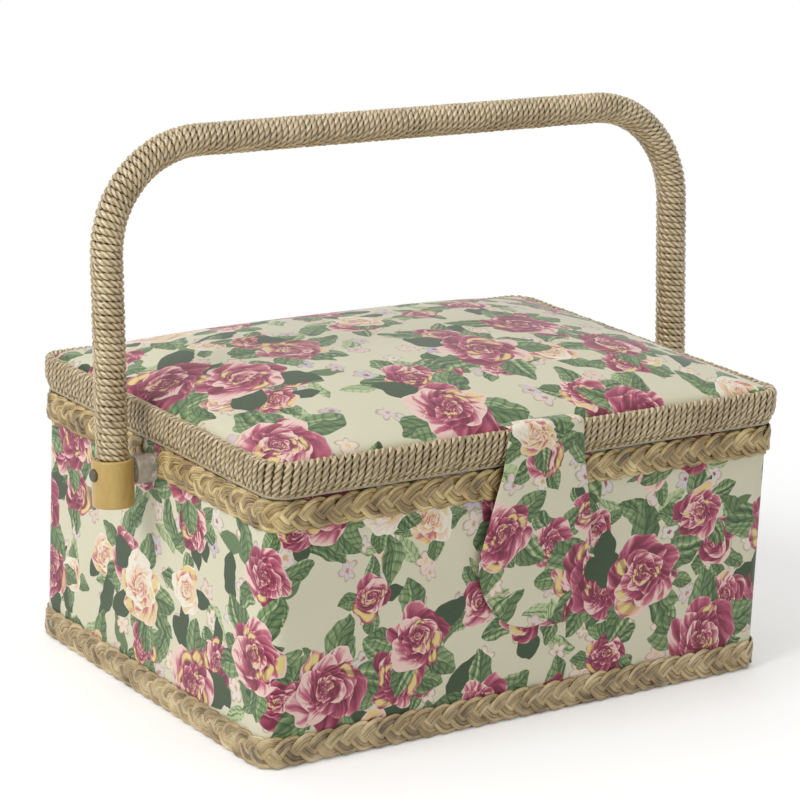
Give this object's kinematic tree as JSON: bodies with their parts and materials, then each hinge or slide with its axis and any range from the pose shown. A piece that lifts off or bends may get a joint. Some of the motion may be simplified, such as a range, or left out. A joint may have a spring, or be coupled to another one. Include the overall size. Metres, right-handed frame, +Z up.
{
  "type": "sewing box",
  "caption": "Rectangular fabric-covered sewing box with a padded hinged lid, a closing tab, a fold-down cord-wound bail handle and a lift-out tray inside.",
  "frame": {"origin": "middle of the underside, on the surface that the box stands on", "axes": "+Z up, +X along the long side to the right, +Y to the back; the closing tab is on the -Y side"},
  "size_m": [0.3568, 0.2259, 0.2749],
  "materials": {
    "printed_cotton": "cream cotton with a floral print, laid over thin foam",
    "straw_braid": "plaited golden straw",
    "twisted_cord": "shiny twisted beige cord",
    "fibreboard": "plain board",
    "wood_strip": "planed",
    "lining_satin": "quilted satin",
    "pad_foam": "soft polyester foam",
    "cap_plastic": "ochre plastic, half gloss",
    "clear_plastic": "clear plastic",
    "tube_plastic": "plain tube",
    "tray_plastic": "thin moulded plastic",
    "steel": "plated"
  },
  "bodies": {
    "box": {"bottom_board": "fibreboard", "side_board": "fibreboard", "cover_fabric": "printed_cotton", "lining_floor": "lining_satin", "lining_sides": "lining_satin", "base_braid": "straw_braid", "upper_braid_front": "straw_braid", "upper_braid_back": "straw_braid", "catch_plate": "steel", "pivot_spacer_left": "clear_plastic", "pivot_spacer_right": "clear_plastic", "pivot_washer_left": "steel", "pivot_washer_right": "steel", "pivot_pin_left": "steel", "pivot_pin_right": "steel", "hinge_leaf_body_left": "steel", "hinge_leaf_body_right": "steel", "hinge_pin_left": "steel", "hinge_pin_right": "steel", "hinge_rivets_body": "steel", "tray_ledge_left": "wood_strip", "tray_ledge_right": "wood_strip", "tray": "tray_plastic"},
    "lid": {"rim_band": "fibreboard", "rim_wrap": "twisted_cord", "lid_board": "fibreboard", "lid_pad": "pad_foam", "lid_cover": "printed_cotton", "lid_lining": "lining_satin", "pin_cushion": "lining_satin", "hinge_leaf_lid_left": "steel", "hinge_leaf_lid_right": "steel", "hinge_rivets_lid": "steel", "tab_root": "printed_cotton"},
    "tab": {"closure_tab": "printed_cotton", "tab_magnet": "steel"},
    "handle": {"handle_core": "tube_plastic", "handle_wrap": "twisted_cord", "handle_turns_left": "twisted_cord", "handle_turns_right": "twisted_cord", "handle_cap_left": "cap_plastic", "handle_cap_right": "cap_plastic"}
  },
  "joints": [
    {"name": "handle_fold", "type": "hinge", "parent": "box", "child": "handle", "pos_m": [0, 0, 0.1156], "axis": [1, 0, 0], "range_deg": [-122.5, 133.5]},
    {"name": "lid_hinge", "type": "hinge", "parent": "box", "child": "lid", "pos_m": [0, 0.111, 0.1282], "axis": [-1, 0, 0], "range_deg": [0, 39]},
    {"name": "tab_lift", "type": "hinge", "parent": "lid", "child": "tab", "pos_m": [0, -0.1115, 0.1477], "axis": [-1, 0, 0], "range_deg": [0, 110]}
  ]
}
